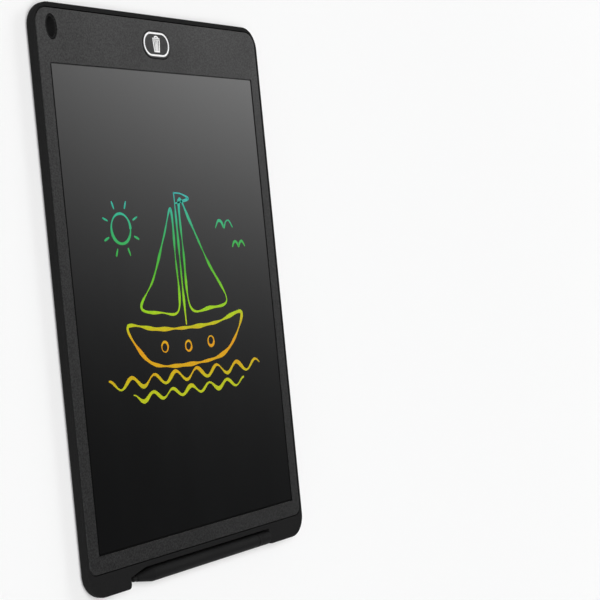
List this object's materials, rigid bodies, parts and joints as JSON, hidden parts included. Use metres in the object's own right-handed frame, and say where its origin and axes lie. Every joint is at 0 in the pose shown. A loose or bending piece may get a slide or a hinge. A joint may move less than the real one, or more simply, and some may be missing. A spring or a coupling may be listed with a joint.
{
  "type": "lcd writing tablet",
  "caption": "Slim upright LCD writing tablet: framed dark writing film, oval erase button, lanyard hole, back lock slider, coin cell tray and a stylus in a notch.",
  "frame": {"origin": "under the middle of the tablet, on the plane that its back rim lies on", "axes": "+X to the right across the writing face, +Y up its height towards the erase button, +Z out of the writing face"},
  "size_m": [0.187, 0.285, 0.0074],
  "materials": {
    "housing_plastic": "fine moulded grain, satin black",
    "face_plastic": "fine grain, dark grey",
    "button_plastic": "fine grain, dark grey with a white printed ring",
    "slider_plastic": "satin black",
    "stylus_plastic": "satin charcoal",
    "nib_plastic": "smooth hard plastic",
    "writing_film": "smooth polished film",
    "crystal_film": "smooth film",
    "backing_film": "flat black film",
    "support_board": "fine foam board",
    "foam_tape": "matte foam adhesive",
    "tail_film": "amber polyimide",
    "ivory_plastic": "moulded nylon",
    "circuit_board": "solder mask",
    "chip_black": "moulded epoxy",
    "ferrite": "sintered",
    "ceramic": "glazed ceramic",
    "steel": "plated",
    "cell_steel": "brushed can",
    "nickel": "nickel plated spring strip"
  },
  "bodies": {
    "tablet": {"rear_housing": "housing_plastic", "face_plate": "face_plastic", "bezel_tape": "foam_tape", "snap_dome": "steel", "writing_film": "writing_film", "crystal_film": "crystal_film", "backing_film": "backing_film", "support_board": "support_board", "foam_tape_frame": "foam_tape", "screen_tail": "tail_film", "tail_connector": "ivory_plastic", "circuit_board": "circuit_board", "board_screw_left_top": "steel", "board_screw_left_bottom": "steel", "board_screw_right_top": "steel", "driver_chip": "chip_black", "boost_inductor": "ferrite", "input_capacitor": "ceramic", "output_capacitor": "ceramic", "rectifier_diode": "chip_black", "gate_resistor": "chip_black", "bias_resistor": "chip_black", "lock_switch": "steel", "positive_contact": "nickel", "negative_contact": "nickel"},
    "erase_button": {"erase_button": "button_plastic"},
    "lock": {"lock_slider": "slider_plastic", "lock_lever": "ivory_plastic"},
    "battery_tray": {"battery_tray": "housing_plastic", "coin_cell": "cell_steel"},
    "stylus": {"stylus_barrel": "stylus_plastic", "stylus_nib": "nib_plastic", "stylus_end_cap": "stylus_plastic"}
  },
  "joints": [
    {"name": "erase_press", "type": "slide", "parent": "tablet", "child": "erase_button", "axis": [0, 0, -1], "range_m": [0, 0.00035], "stiffness_N_per_m": 1500, "deforming": ["snap_dome"]},
    {"name": "lock_slide", "type": "slide", "parent": "tablet", "child": "lock", "axis": [1, 0, 0], "range_m": [0, 0.0015]},
    {"name": "tray_slide", "type": "slide", "parent": "tablet", "child": "battery_tray", "axis": [0, 1, 0], "range_m": [0, 0.024]},
    {"name": "stylus_slide", "type": "slide", "parent": "tablet", "child": "stylus", "axis": [0, -1, 0], "range_m": [0, 0.02]}
  ]
}
